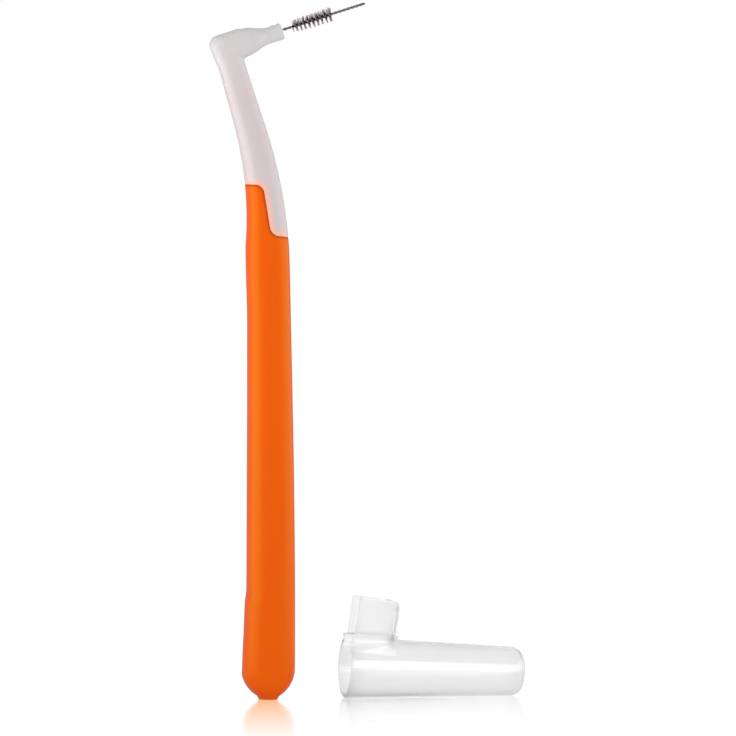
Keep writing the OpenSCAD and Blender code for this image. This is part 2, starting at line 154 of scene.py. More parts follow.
class BRUSH_PG_bristles(bpy.types.PropertyGroup):
    """Sizes and colours of the filaments."""
    root_dia: length("Root diameter", "Diameter of the brush at the end nearer the nose", 2.8)
    front_dia: length("Front diameter", "Diameter of the brush at its front end", 3.2)
    start: length("Start", "Bare wire between the nose and the first filament", 2.4)
    brush_l: length("Brush length", "Length of the brush along the wire", 8.1)
    thickness: length("Thickness", "Thickness of a filament at its root", 0.10)
    strands: IntProperty(name="Strands", description="Number of filament ends", default=400, min=2)
    end_row: share("End row", "Share of the strands that crowd into the last row", 0.08)
    trim: share("Trim", "Share by which a strand may be shorter than the longest", 0.13)
    lean: share("Lean", "How far a strand may lean along the wire", 0.16)
    seed: IntProperty(name="Seed", description="Seed of the filaments' small differences", default=7)
    nylon_colour: colour("Nylon colour", "Colour of the filaments at the wire", (0.026, 0.010, 0.015))
    tip_colour: colour("Tip colour", "Colour of the filaments at their tips", (0.50, 0.42, 0.45))


class BRUSH_PG_cap(bpy.types.PropertyGroup):
    """Sizes and tint of the travel cap."""
    mouth_dia: length("Mouth diameter", "Diameter of the cap at its mouth", 12.3)
    end_dia: length("End diameter", "Diameter of the cap at its closed end", 9.6)
    cap_l: length("Length", "Length of the cap", 36.4)
    wall: length("Wall", "Wall of the cap", 0.85)
    end_r: length("End radius", "Radius round the closed end", 2.3)
    cap_x: length("Place", "Distance from the brush's foot to the cap's mouth", 15.75)
    sleeve_l: length("Sleeve length", "Length of the sleeve along the cap", 8.4)
    sleeve_w: length("Sleeve width", "Width of the sleeve from side to side", 7.6)
    sleeve_h: length("Sleeve height", "Height of the sleeve above the cap", 8.4)
    sleeve_start: length("Sleeve start", "Distance from the mouth to the sleeve", 0.5)
    sleeve_lean: angle("Sleeve lean", "Angle that the sleeve leans towards the closed end", 6.0)
    sleeve_r: length("Sleeve radius", "Radius of the sleeve's two back edges", 1.1)
    sleeve_top_r: length("Sleeve top radius", "Radius between the sleeve's back wall and its top", 1.3)
    saddle_w: length("Saddle width", "Width of the saddle between sleeve and cap", 10.2)
    saddle_h: length("Saddle height", "Height of the saddle above the cap", 0.6)
    saddle_r: length("Saddle radius", "Radius of the saddle's two shoulders", 1.4)
    clear_colour: colour("Clear colour", "Tint that light takes on through the clear plastic",
                         (0.85, 0.85, 0.85))
    # Painted shade: a darker tint at the mouth, standing in for the shade inside the tube's mouth
    painted_rim_colour: colour("Rim colour", "Tint at the mouth, where the plastic is thicker",
                       (0.74, 0.74, 0.74))
    mouth_shade_l: length("Rim length", "Length of the thicker plastic at the mouth", 3.3)
    milk: share("Milkiness", "Share of the light that the plastic scatters", 0.10)
    frost: share("Frost", "Roughness of the plastic, which blurs what is behind it", 0.3)
# Painted shade: the clear plastic darkens over the first stretch from the mouth


class BRUSH_PG_stage(bpy.types.PropertyGroup):
    """Camera, lamps and floor."""
    azimuth: angle("Camera azimuth", "Angle of the camera from the front, towards the right", -13.0)
    elevation: angle("Camera elevation", "Angle of the camera above the horizon", 3.0)
    lens: FloatProperty(name="Lens", description="Focal length in millimetres", default=1200.0)
    view_w: length("View width", "Width of the view at the brush", 147.2)
    aim_right: length("Aim right", "Middle of the view, right of the foot", 20.0)
    aim_up: length("Aim up", "Middle of the view, above the foot", 66.2)
    ambient: share("Ambient", "Strength of the light from all round", 0.78, 4.0)
    side: share("Side", "Brightness of the tall softboxes on both sides", 1.6, 20.0)
    low: share("Low", "Brightness of the softbox that lies on the floor at the left", 1.7, 20.0)
    front: share("Front", "Brightness of the low softbox that lights the cap", 3.0, 20.0)
    dark: share("Dark front", "What reflections show in front, where the studio is unlit", 0.08)
    behind: share("Behind", "What blurred reflections show behind the brush", 0.3)
    glass_dark: share("Grey front", "What glass shows in front, where the studio is unlit", 0.78)
    mirror_colour: colour("Mirror colour", "Share of each colour that the floor reflects of the brush",
                          (0.22, 0.62, 0.85))
    cap_mirror: share("Cap mirror", "Share of the light that the floor reflects of the cap", 0.9)
    mirror_reach: length("Mirror reach", "Distance from the foot at which the reflection is gone",
                         128.0)
    mirror_blur: share("Mirror blur", "How far the floor's fine unevenness tilts its surface", 0.09)


GROUPS = {
    "handle": BRUSH_PG_handle, "wire": BRUSH_PG_wire, "bristles": BRUSH_PG_bristles,
    "cap": BRUSH_PG_cap, "stage": BRUSH_PG_stage,
}


def settings_of(context, name):
    """The settings of one group, with its lengths in millimetres."""
    group = getattr(context.scene, "brush_" + name)
    made = {}
    for key in group.__annotations__:
        value, unit = getattr(group, key), group.bl_rna.properties[key].unit
        made[key] = value / MM if unit == "LENGTH" else value
    return SimpleNamespace(**made)


# Small tools for shapes

def mix(a, b, t):
    """The value at a share of the way from a to b."""
    return a + (b - a) * t


def polar(degrees):
    """The direction at an angle, as two shares."""
    return np.array([math.cos(math.radians(degrees)), math.sin(math.radians(degrees))])


def arc(middle, radius, first, last, steps):
    """Points on an arc, from one angle to another."""
    return [np.array(middle) + radius * polar(mix(first, last, i / steps)) for i in range(steps + 1)]


def slopes(x, y):
    """Slopes at each place for a smooth line through points that never overshoots them."""
    h = np.diff(x)[:, None]
    d = np.diff(y, axis=0) / h
    made = np.zeros_like(y)
    same = d[:-1] * d[1:] > 0
    weights = 2 * h[1:] + h[:-1], h[1:] + 2 * h[:-1]
    with np.errstate(divide="ignore", invalid="ignore"):
        inner = (weights[0] + weights[1]) / (weights[0] / d[:-1] + weights[1] / d[1:])
    made[1:-1] = np.where(same, inner, 0)
    made[0], made[-1] = d[0], d[-1]
    return made


def smooth_rows(rows, step_at):
    """The given rows of numbers with more between them, on a smooth line.

    A row holds two places and more numbers. step_at tells how close the rows are after one.
    """
    rows = np.array(rows, float)
    moves = np.maximum(np.hypot(*(np.diff(rows[:, 0:2], axis=0).T)),
                       np.hypot(*(np.diff(rows[:, 2:4], axis=0).T)))
    place = np.concatenate([[0], np.cumsum(np.maximum(moves, 1e-3))])
    slope = slopes(place, rows)
    made = []
    for i in range(len(rows) - 1):
        width = place[i + 1] - place[i]
        steps = max(1, math.ceil(width / step_at(rows[i])))
        for k in range(steps):
            t = k / steps
            made.append((2 * t ** 3 - 3 * t ** 2 + 1) * rows[i]
                        + (t ** 3 - 2 * t ** 2 + t) * width * slope[i]
                        + (3 * t ** 2 - 2 * t ** 3) * rows[i + 1]
                        + (t ** 3 - t ** 2) * width * slope[i + 1])
    return made + [rows[-1]]


def object_from(name, points, faces):
    """An object with a mesh from points in millimetres."""
    mesh = bpy.data.meshes.new(name)
    mesh.from_pydata([tuple(float(x) * MM for x in p) for p in points], [], faces)
    mesh.update()
    made = bpy.data.objects.new(name, mesh)
    bpy.context.scene.collection.objects.link(made)
    return made


def loft(name, rings, closed=False):
    """An object with a skin over rings of points. A closed one joins its last ring to its first."""
    sides, last = len(rings[0]), len(rings) - 1
    faces = [] if closed else [list(range(sides)), [last * sides + i for i in reversed(range(sides))]]
    for r in range(last + 1 if closed else last):
        a, b = r * sides, ((r + 1) % (last + 1)) * sides
        faces += [(a + i, b + i, b + (i + 1) % sides, a + (i + 1) % sides) for i in range(sides)]
    return face_outwards(object_from(name, [p for ring in rings for p in ring], faces))


def face_outwards(piece):
    """Turns the faces of a closed mesh outwards."""
    work = bmesh.new()
    work.from_mesh(piece.data)
    bmesh.ops.recalc_face_normals(work, faces=work.faces)
    if work.calc_volume(signed=True) < 0:
        bmesh.ops.reverse_faces(work, faces=work.faces)
    work.to_mesh(piece.data)
    work.free()
    return piece


def prism(name, outline, low, high, place=None):
    """A prism over an outline in X and Y. place turns its points into their final ones."""
    rings = [[(x, y, z) for x, y in outline] for z in (low, high)]
    if place is not None:
        rings = [[place(p) for p in ring] for ring in rings]
    return loft(name, rings)


def combine(piece, tool, operation):
    """Joins, cuts or intersects a piece with a tool, which is used up."""
    step = piece.modifiers.new("combine", "BOOLEAN")
    step.solver, step.operation, step.object = "EXACT", operation, tool
    bake(piece)
    remove(tool)
    return piece


def bake(piece):
    """Turns a piece's modifiers into its mesh."""
    evaluated = piece.evaluated_get(bpy.context.evaluated_depsgraph_get())
    made = bpy.data.meshes.new_from_object(evaluated)
    piece.modifiers.clear()
    old, piece.data = piece.data, made
    made.name = piece.name
    bpy.data.meshes.remove(old)
    return piece


def remove(piece):
    """Deletes an object and its mesh."""
    mesh = piece.data
    bpy.data.objects.remove(piece)
    bpy.data.meshes.remove(mesh)


def smooth(piece, degrees):
    """Smooth shading, with the edges sharper than the angle kept."""
    piece.data.shade_smooth()
    piece.data.set_sharp_from_angle(angle=math.radians(degrees))
    return piece


def dress(piece, material, body, node, slot):
    """Gives a finished piece its material and its body, and hides the CAD node that it stands for."""
    if len(piece.data.polygons) == 0:
        raise RuntimeError(f"{piece.name} has no faces")
    piece.data.materials.clear()
    piece.data.materials.append(material)
    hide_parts(node)
    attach(piece, body)
    return piece


# Small tools for node trees

def feed(tree, node, inputs):
    """Sets or links a node's inputs."""
    for key, value in inputs.items():
        if isinstance(value, bpy.types.NodeSocket):
            tree.links.new(value, node.inputs[key])
        else:
            node.inputs[key].default_value = value
    return node


def put(tree, kind, inputs=None, **settings):
    """Adds a node, sets its properties and feeds its inputs."""
    made = tree.nodes.new(kind)
    for key, value in settings.items():
        setattr(made, key, value)
    return feed(tree, made, inputs or {})


def calc(tree, operation, *values):
    """The output of a Math node."""
    return put(tree, "ShaderNodeMath", dict(enumerate(values)), operation=operation).outputs[0]


def vector(tree, x=0.0, y=0.0, z=0.0):
    """The output of a Combine XYZ node."""
    return put(tree, "ShaderNodeCombineXYZ", {0: x, 1: y, 2: z}).outputs[0]


def vector_calc(tree, operation, *values, output="Vector"):
    """An output of a Vector Math node."""
    made = put(tree, "ShaderNodeVectorMath", dict(enumerate(values)), operation=operation)
    return made.outputs[output]


def noise(tree, place, scale, detail=2.0, roughness=0.5, output="Fac"):
    """An output of a Noise Texture node. Its scale counts cells to a metre."""
    return put(tree, "ShaderNodeTexNoise", {
        "Vector": place, "Scale": scale, "Detail": detail, "Roughness": roughness}).outputs[output]


def stored(tree, name):
    """An attribute that a mesh keeps for its points or pieces."""
    return put(tree, "ShaderNodeAttribute", attribute_name=name).outputs["Fac"]


def choose(tree, factor, a, b):
    """The output of a Mix node for two numbers."""
    return put(tree, "ShaderNodeMix", {0: factor, 2: a, 3: b}).outputs[0]


def blend_colour(tree, factor, a, b, blend_type="MIX"):
    """The output of a Mix node for two colours."""
    made = put(tree, "ShaderNodeMix", {0: factor, 6: a, 7: b}, data_type="RGBA", blend_type=blend_type)
    return made.outputs[2]


def ramp(tree, value, low, high, to_low=0.0, to_high=1.0, kind="LINEAR"):
    """A value carried from one range to another."""
    return put(tree, "ShaderNodeMapRange", {
        "Value": value, "From Min": low, "From Max": high, "To Min": to_low, "To Max": to_high},
        interpolation_type=kind).outputs["Result"]


def sockets(tree, inputs, outputs):
    """Names a tree's inputs and outputs, each with its kind. Returns its group input and output."""
    for side, kinds in (("INPUT", inputs), ("OUTPUT", outputs)):
        for name, kind in kinds.items():
            tree.interface.new_socket(name, in_out=side, socket_type="NodeSocket" + kind)
    return tree.nodes.new("NodeGroupInput").outputs, tree.nodes.new("NodeGroupOutput")


def rgba(value):
    """An opaque colour."""
    return (*value, 1.0)


def new_material(name):
    """A material with a Principled shader, and the piece's own coordinates."""
    material = bpy.data.materials.new(name)
    material.use_nodes = True
    tree = material.node_tree
    shader = tree.nodes["Principled BSDF"]
    place = put(tree, "ShaderNodeTexCoord").outputs["Object"]
    return material, tree, shader, place


# Shared effects

# Cells to a metre of the fine scratches, along each axis
SCRATCH_SCALES = (9000.0, 2600.0, 380.0)
SCRATCH_TURN = 0.4
SCRATCH_DEPTH = -0.6


def moulded_surface():
    """Group for moulded plastic: faint mottling, cloudy gloss and the fine grain of the mould."""
    tree = bpy.data.node_groups.get("Moulded surface")
    if tree:
        return tree
    tree = bpy.data.node_groups.new("Moulded surface", "ShaderNodeTree")
    given, result = sockets(tree, {
        "Position": "Vector", "Colour": "Color", "Mottle": "Float", "Gloss Roughness": "Float",
        "Cloudiness": "Float", "Stretch": "Float"},
        {"Colour": "Color", "Roughness": "Float", "Height": "Float"})
    stretched = vector_calc(tree, "MULTIPLY", given["Position"],
                            vector(tree, 1.0, 1.0, given["Stretch"]))
    flow = noise(tree, stretched, scale=420.0, detail=3.0, roughness=0.55)
    cloud = noise(tree, stretched, scale=1100.0, detail=4.0, roughness=0.6)
    grain = noise(tree, given["Position"], scale=9000.0)
    swing = calc(tree, "MULTIPLY", calc(tree, "SUBTRACT", flow, 0.5), given["Mottle"])
    tone = put(tree, "ShaderNodeHueSaturation", {
        "Value": calc(tree, "MULTIPLY_ADD", swing, 2.0, 1.0), "Color": given["Colour"]}).outputs[0]
    roughness = calc(tree, "MULTIPLY_ADD", calc(tree, "SUBTRACT", cloud, 0.5), given["Cloudiness"],
                     given["Gloss Roughness"])
    height = calc(tree, "MULTIPLY_ADD", cloud, 0.7, calc(tree, "MULTIPLY", grain, 0.3))
    feed(tree, result, {"Colour": tone, "Roughness": roughness, "Height": height})
    return tree


def handling_marks():
    """Group for fine scuffs from handling: short thin scratches as a mask."""
    tree = bpy.data.node_groups.get("Handling marks")
    if tree:
        return tree
    tree = bpy.data.node_groups.new("Handling marks", "ShaderNodeTree")
    given, result = sockets(tree, {"Position": "Vector", "Amount": "Float", "Turn": "Float"},
                            {"Mask": "Float"})
    turned = put(tree, "ShaderNodeVectorRotate", {"Vector": given["Position"], "Angle": given["Turn"]},
                 rotation_type="Y_AXIS").outputs[0]
    lines = noise(tree, vector_calc(tree, "MULTIPLY", turned, SCRATCH_SCALES), scale=1.0, detail=1.0)
    patches = noise(tree, given["Position"], scale=260.0)
    mask = calc(tree, "MULTIPLY", ramp(tree, lines, 0.66, 0.72), ramp(tree, patches, 0.5, 0.62))
    feed(tree, result, {"Mask": calc(tree, "MULTIPLY", mask, given["Amount"])})
    return tree


def moulded(tree, shader, place, tint, mottle, roughness, cloudiness, stretch, relief, scuffs):
    """Feeds a shader from the moulded surface and the handling marks. relief is in millimetres."""
    surface = put(tree, "ShaderNodeGroup", {
        "Position": place, "Colour": tint, "Mottle": mottle, "Gloss Roughness": roughness,
        "Cloudiness": cloudiness, "Stretch": stretch}, node_tree=moulded_surface()).outputs
    marks = put(tree, "ShaderNodeGroup", {"Position": place, "Amount": scuffs, "Turn": SCRATCH_TURN},
                node_tree=handling_marks()).outputs["Mask"]
    height = calc(tree, "MULTIPLY_ADD", marks, SCRATCH_DEPTH, surface["Height"])
    bump = put(tree, "ShaderNodeBump", {"Height": height, "Strength": 0.5, "Distance": relief * MM})
    feed(tree, shader, {"Base Color": surface["Colour"], "Normal": bump.outputs[0],
                        "Roughness": calc(tree, "ADD", surface["Roughness"], marks)})


# Materials

# What the steel's warmer patches keep of each colour
HEAT_CAST = (0.98, 0.9, 0.87)
# What the clear plastic lets through of a lamp's light, so that its shadow is faint
SHADOW_TINT = (0.93, 0.93, 0.93)


def joint_shade(tree, near, far):
    """1 at the joint line and up to near from it, falling to 0 at far, in millimetres."""
    return ramp(tree, stored(tree, JOINT_ATTRIBUTE), near, far, 1.0, 0.0, "SMOOTHSTEP")


def grip_material(s):
    """Glossy orange plastic, with painted shade darkening its upper edge along the joint."""
    material, tree, shader, place = new_material("orange_plastic")
    # Painted shade: the orange darkens towards the joint line
    tint = blend_colour(tree, joint_shade(tree, 0.05, 0.75), rgba(s.grip_colour), rgba(s.seam_shade_colour))
    moulded(tree, shader, place, tint, mottle=0.03, roughness=0.3, cloudiness=0.07, stretch=0.25,
            relief=0.012, scuffs=0.10)
    feed(tree, shader, {"IOR": 1.5, "Specular Tint": (0.5, 1.0, 0.12, 1.0)})
    return material


def core_material(s):
    """Off-white plastic under a thin clear coat, with a painted peach glow of the orange's light along
    the joint and a painted warm glow from the grip low on the neck.
    """
    material, tree, shader, place = new_material("white_plastic")
    height = put(tree, "ShaderNodeSeparateXYZ", {0: place}).outputs["Z"]
    # Painted glow: below a height the white warms towards the grip's orange light
    grip_glow = ramp(tree, height, s.glow_to * MM, s.glow_from * MM, 1.0, 0.0, "SMOOTHSTEP")
    white = blend_colour(tree, grip_glow, rgba(s.core_colour), rgba(s.neck_glow_colour))
    # Painted glow: the white turns peach towards the joint line, as if lit by the orange
    tint = blend_colour(tree, joint_shade(tree, 0.1, 1.5), white, rgba(s.painted_rim_colour))
    moulded(tree, shader, place, tint, mottle=0.025, roughness=0.22, cloudiness=0.06, stretch=0.5,
            relief=0.012, scuffs=0.08)
    feed(tree, shader, {
        "IOR": 1.52, "Specular IOR Level": 0.15, "Coat Weight": 0.4, "Coat Roughness": 0.0,
        "Subsurface Weight": 0.12, "Subsurface Radius": (1.0, 0.8, 0.7), "Subsurface Scale": 1.2 * MM})
    return material


def steel_material(s):
    """Drawn steel, with fine streaks and a brown cast from its heat."""
    material, tree, shader, place = new_material("drawn_steel")
    streaks = noise(tree, place, scale=14000.0, detail=3.0)
    cast = noise(tree, place, scale=900.0)
    warm = rgba(part * kept for part, kept in zip(s.steel_colour, HEAT_CAST))
    bump = put(tree, "ShaderNodeBump", {"Height": streaks, "Strength": 0.4, "Distance": 0.004 * MM})
    feed(tree, shader, {
        "Base Color": blend_colour(tree, ramp(tree, cast, 0.35, 0.65), rgba(s.steel_colour), warm),
        "Roughness": ramp(tree, streaks, 0.3, 0.7, 0.26, 0.44), "Normal": bump.outputs[0],
        "Metallic": 1.0})
    return material


def nylon_material(s):
    """Dark nylon: lighter towards the tips of the filaments, each with its own tone."""
    material, tree, shader, place = new_material("nylon_filament")
    fine = noise(tree, place, scale=20000.0)
    base = blend_colour(tree, ramp(tree, stored(tree, REACH_ATTRIBUTE), 0.3, 0.9), rgba(s.nylon_colour),
                        rgba(s.tip_colour))
    toned = put(tree, "ShaderNodeHueSaturation", {
        "Value": ramp(tree, stored(tree, TONE_ATTRIBUTE), 0.0, 1.0, 0.7, 1.3), "Color": base})
    feed(tree, shader, {"Base Color": toned.outputs[0],
                        "Roughness": ramp(tree, fine, 0.3, 0.7, 0.34, 0.5)})
    return material


def clear_material(s):
    """Clear, slightly milky plastic that lets the lamps through, darkened at the mouth by painted
    shade.
    """
    material, tree, shader, place = new_material("clear_plastic")
    along = put(tree, "ShaderNodeSeparateXYZ", {0: place}).outputs
    rim = ramp(tree, along["X"], s.cap_x * MM, (s.cap_x + s.mouth_shade_l) * MM, 1.0, 0.0)
    # The painted shade at the mouth leaves out the saddle, which stays as light as elsewhere
    low, high = s.mouth_dia * 0.8 * MM, (s.mouth_dia + s.saddle_h) * MM
    below = ramp(tree, along["Z"], low, low + MM, 1.0, 0.0)
    above = ramp(tree, along["Z"], high, high + 0.4 * MM)
    rim = calc(tree, "MULTIPLY", rim, calc(tree, "ADD", below, above))
    tint = blend_colour(tree, rim, rgba(s.clear_colour), rgba(s.painted_rim_colour))
    moulded(tree, shader, place, tint, mottle=0.01, roughness=s.frost, cloudiness=0.05, stretch=0.6,
            relief=0.006, scuffs=0.04)
    feed(tree, shader, {
        "Transmission Weight": 1.0 - s.milk, "IOR": 1.22, "Specular Tint": (0.15, 0.15, 0.15, 1.0),
        "Coat Weight": 1.0, "Coat Roughness": 0.0})
    shadow = put(tree, "ShaderNodeLightPath").outputs["Is Shadow Ray"]
    through = put(tree, "ShaderNodeBsdfTransparent", {"Color": rgba(SHADOW_TINT)}).outputs[0]
    both = put(tree, "ShaderNodeMixShader", {0: shadow, 1: shader.outputs[0], 2: through}).outputs[0]
    feed(tree, tree.nodes["Material Output"], {"Surface": both})
    return material


# Handle

# Height share, half width at back and front, and depth, up the grip from the heel
GRIP_SHARES = [
    (0.060, 0.98, 1.01, 1.00), (0.095, 0.96, 1.02, 1.00), (0.150, 0.91, 1.02, 1.00),
    (0.215, 0.86, 1.02, 0.99), (0.235, 0.81, 1.02, 0.98), (0.330, 0.80, 1.01, 0.96),
    (0.490, 0.79, 0.98, 0.93), (0.650, 0.78, 0.93, 0.89), (0.810, 0.78, 0.87, 0.86)]
# Reach along the arm, rise of its underside, fall of its top, ridge and depth share
ARM_SHARES = [
    (0.11, 0.12, 0.14, 0, 0.05), (0.28, 0.38, 0.30, 0, 0.25), (0.45, 0.78, 0.66, 0, 0.55),
    (0.58, 0.98, 0.86, 0, 0.85), (0.66, 1.00, 0.94, 0, 0.95), (0.74, 1.00, 0.99, 0.1, 1),
    (0.78, 1.00, 1.00, 0.7, 1), (0.83, 1.00, 1.00, 0.8, 1), (0.87, 1.00, 1.00, 0.2, 1),
    (0.90, 1.00, 1.00, 0.2, 1), (0.94, 1.00, 1.00, 0.9, 1), (0.985, 1.00, 1.00, 0.9, 0.98),
    (1.00, 1.08, 1.06, 0, 0.92)]
HEEL_SQUARE, HEEL_DEPTH_SQUARE = 1.8, 5
BODY_SQUARE, NOSE_SQUARE, FOOT_SQUARE = 2.8, 2.2, 2.3
HANDLE_SIDES = 96
# Insets of the foot by height: it is narrowest at the floor and spreads into the heel
FOOT_EDGE = [(0.0, 0.22), (0.05, 0.12), (0.16, 0.05), (0.34, -0.02), (0.55, -0.14)]
# How fast the neck narrows above its root: 1 is even, more is faster
NECK_TAPER = 1.7
# Share of the way round the head's corner on each side of its round, and where the ribs start:
# how far up the flank on the outside, and how far round on the inside
FLANK_SHARE, OUTER_START, INNER_START = 0.15, 0.55, 0.1
# Steps between ribs: at the heel and in the head, at the joint and the neck, and along the grip
FINE_STEP, MIDDLE_STEP, WIDE_STEP = 0.25, 0.4, 1.2
# How far the groove reaches on each side of the joint, and how far it stays from the tang
GROOVE_REACH, TANG_MARGIN = 0.3, 0.3


class HandleShape:
    """The handle's ribs and the places on them, in millimetres in X and Z."""

    def __init__(self, s):
        self.s = s
        self.lean = math.degrees(s.neck_lean)
        self.root = np.array([-0.012 * s.grip_w, s.grip_h * 0.98])
        self.arm_dir = polar(self.lean)
        self.arm_up = polar(self.lean + 90)
        self.inner = self.neck_middle(1, 1) + self.arm_dir * s.neck_w / 2 + self.arm_up * s.inner_r
        self.wire_exit = self.at(-s.arm_l, s.nose_rise + s.nose_h / 2 + s.wire_lift)

    def neck_middle(self, bend, straight):
        """The middle of the neck, by shares of its bend and of its straight part."""
        turned = polar(self.lean * bend)
        return (self.root + self.s.neck_bend_r * (turned - [1, 0])
                + self.s.neck_l * straight * np.array([-turned[1], turned[0]]))

    def at(self, back, up):
        """A place back from the inner corner and up from it, in the arm's directions."""
        return self.inner - self.arm_dir * back + self.arm_up * up

    def neck_rib(self, bend, straight):
        """A rib across the neck, by the same shares."""
        s = self.s
        bend_l, straight_l = s.neck_bend_r * math.radians(self.lean), s.neck_l
        narrowing = (bend * bend_l + straight * straight_l) / (bend_l + straight_l)
        half = mix(s.neck_w, s.neck_root_w, (1 - narrowing) ** NECK_TAPER) / 2 * polar(self.lean * bend)
        middle = self.neck_middle(bend, straight)
        return [*(middle - half), *(middle + half), mix(s.neck_root_d, s.neck_d, narrowing),
                BODY_SQUARE]

    def corner_rib(self, part):
        """A rib across the head's corner, by a share of the way round from neck to arm."""
        s = self.s
        if part < FLANK_SHARE:
            t = mix(OUTER_START, 1, part / FLANK_SHARE)
            outer = self.at(mix(s.neck_w, s.head_w, t), mix(-s.inner_r, s.head_h - s.corner_r, t))
        elif part > 1 - FLANK_SHARE:
            t = (part - (1 - FLANK_SHARE)) / FLANK_SHARE
            outer = self.at(mix(s.head_w - s.corner_r, -s.inner_r, t), s.head_h)
        else:
            turn = polar(90 * (part - FLANK_SHARE) / (1 - 2 * FLANK_SHARE))
            outer = self.at(s.head_w - s.corner_r + s.corner_r * turn[0],
                            s.head_h - s.corner_r + s.corner_r * turn[1])
        turn = polar(90 * mix(INNER_START, 1, part))
        inner = self.at(-s.inner_r * (1 - turn[0]), -s.inner_r * (1 - turn[1]))
        return [*outer, *inner, s.neck_d, BODY_SQUARE]

    def arm_rib(self, row):
        """A rib across the arm, from a row of ARM_SHARES."""
        s = self.s
        reach, depth = mix(s.inner_r, s.arm_l, row[0]), row[4]
        high = mix(s.head_h, s.nose_rise + s.nose_h, row[2]) + s.ridge_h * row[3]
        return [*self.at(-reach, high), *self.at(-reach, s.nose_rise * row[1]),
                mix(s.neck_d, s.nose_d, depth), mix(BODY_SQUARE, NOSE_SQUARE, depth)]

    def heel_rib(self, degrees):
        """A rib across the heel, by an angle round its end."""
        s, (c, d) = self.s, polar(degrees)
        reach, z = s.grip_w / 2 * d ** (2 / HEEL_SQUARE), s.heel_h * (1 - c ** (2 / HEEL_SQUARE))
        return [-reach, z, reach, z, s.grip_d * d ** (2 / HEEL_DEPTH_SQUARE),
                mix(FOOT_SQUARE, BODY_SQUARE, degrees / 90)]

    def foot_rib(self, z, inset):
        """A rib at a height just above the floor."""
        s = self.s
        return [inset - s.foot_w / 2, z, s.foot_w / 2 - inset, z, s.foot_d - 2 * inset, FOOT_SQUARE]

    def ribs(self):
        """All ribs from foot to nose: back and front place, depth and squareness."""
        s = self.s
        rows = [self.foot_rib(z, inset) for z, inset in FOOT_EDGE]
        rows += [self.heel_rib(a) for a in range(28, 81, 4)]
        rows += [[-b * s.grip_w / 2, h * s.grip_h, f * s.grip_w / 2, h * s.grip_h, d * s.grip_d,
                  BODY_SQUARE] for h, b, f, d in GRIP_SHARES]
        rows += [self.neck_rib(i / 8, 0) for i in range(9)]
        rows += [self.neck_rib(1, i / 3) for i in (1, 2, 3)]
        rows += [self.corner_rib(i / 20) for i in range(21)]
        rows += [self.arm_rib(row) for row in ARM_SHARES]
        return smooth_rows(rows, self.step_at)

    def step_at(self, row):
        """How far the next rib is from this one."""
        z, s = (row[1] + row[3]) / 2, self.s
        if z > s.grip_h + 14 or z < 6:
            return FINE_STEP
        return MIDDLE_STEP if s.grip_h - 3 < z else WIDE_STEP

    @staticmethod
    def ring(row):
        """The points round one rib."""
        back, front = row[0:2], row[2:4]
        middle, reach = (back + front) / 2, (front - back) / 2
        made = []
        for i in range(HANDLE_SIDES):
            c, d = polar(360 * i / HANDLE_SIDES)
            size = (abs(c) ** row[5] + abs(d) ** row[5]) ** (-1 / row[5])
            x, z = middle + reach * c * size
            made.append((x, row[4] / 2 * d * size, z))
        return made

    def joint_line(self):
        """The edge of the grip in side view, from the back to the front."""
        s = self.s
        rise = s.joint_rise
        top, low = s.grip_h + rise, s.grip_h + rise * 0.04
        return np.array(
            [[-s.grip_w, top]]
            + arc([-s.joint_step_x - s.joint_top_r, top - s.joint_top_r], s.joint_top_r, 90, 8, 24)
            + arc([-s.joint_step_x + s.joint_low_r + rise * 0.1, low + s.joint_low_r], s.joint_low_r,
                  188, 262, 24)
            + [[s.grip_w, s.grip_h - rise * 0.06]])

    def grip_side(self, shift):
        """Everything on the grip's side of the joint."""
        s = self.s
        outline = np.array([[s.grip_w, -1.0], [-s.grip_w, -1.0], *self.joint_line()]) + shift
        return prism("grip_side", outline, -s.grip_d, s.grip_d, lambda p: (p[0], -p[2], p[1]))

    def tang(self, gap):
        """The tang, or with a gap round it its space in the grip."""
        s = self.s
        flat, r = (s.tang_w - s.tang_d) / 2, s.tang_d / 2 + gap
        outline = arc([flat, 0], r, -90, 90, 16) + arc([-flat, 0], r, 90, 270, 16)
        return prism("tang", outline, s.grip_h - s.tang_l - gap, s.grip_h + s.joint_rise * 0.7 + gap)

    def to_wire(self, p):
        """A point along the wire's axis and across it, put in its place on the handle."""
        x, z = self.wire_exit + self.arm_dir * p[0] + self.arm_up * p[2]
        return (x, p[1], z)


def mark_joint(piece, shape, line):
    """Stores the distance to the joint line on each point, and sinks a fine groove along it."""
    mesh = piece.data
    points = np.zeros(len(mesh.vertices) * 3)
    mesh.vertices.foreach_get("co", points)
    points = points.reshape(-1, 3) / MM
    flat = points[:, [0, 2]]
    nearest = np.full(len(points), 1e9)
    for a, b in zip(line[:-1], line[1:]):
        way = b - a
        t = np.clip((flat - a) @ way / (way @ way), 0, 1)
        nearest = np.minimum(nearest, np.hypot(*(flat - a - t[:, None] * way).T))
    kept = mesh.attributes.new(JOINT_ATTRIBUTE, "FLOAT", "POINT")
    kept.data.foreach_set("value", nearest.astype(np.float32))
    bend_r = shape.s.neck_bend_r
    up = np.clip((flat[:, 1] - shape.root[1]) / bend_r, 0, 0.5)
    middle = shape.root[0] + bend_r * (np.sqrt(1 - up ** 2) - 1)
    out = np.stack([flat[:, 0] - middle, points[:, 1]], axis=1)
    far = np.hypot(*out.T)
    depth = shape.s.groove * np.clip(1 - nearest / GROOVE_REACH, 0, 1)
    sink = np.where(far > shape.s.tang_w / 2 + TANG_MARGIN, depth, 0)
    points[:, :2] -= out * (sink / np.maximum(far, 1))[:, None]
    mesh.vertices.foreach_set("co", (points * MM).ravel())
    mesh.update()


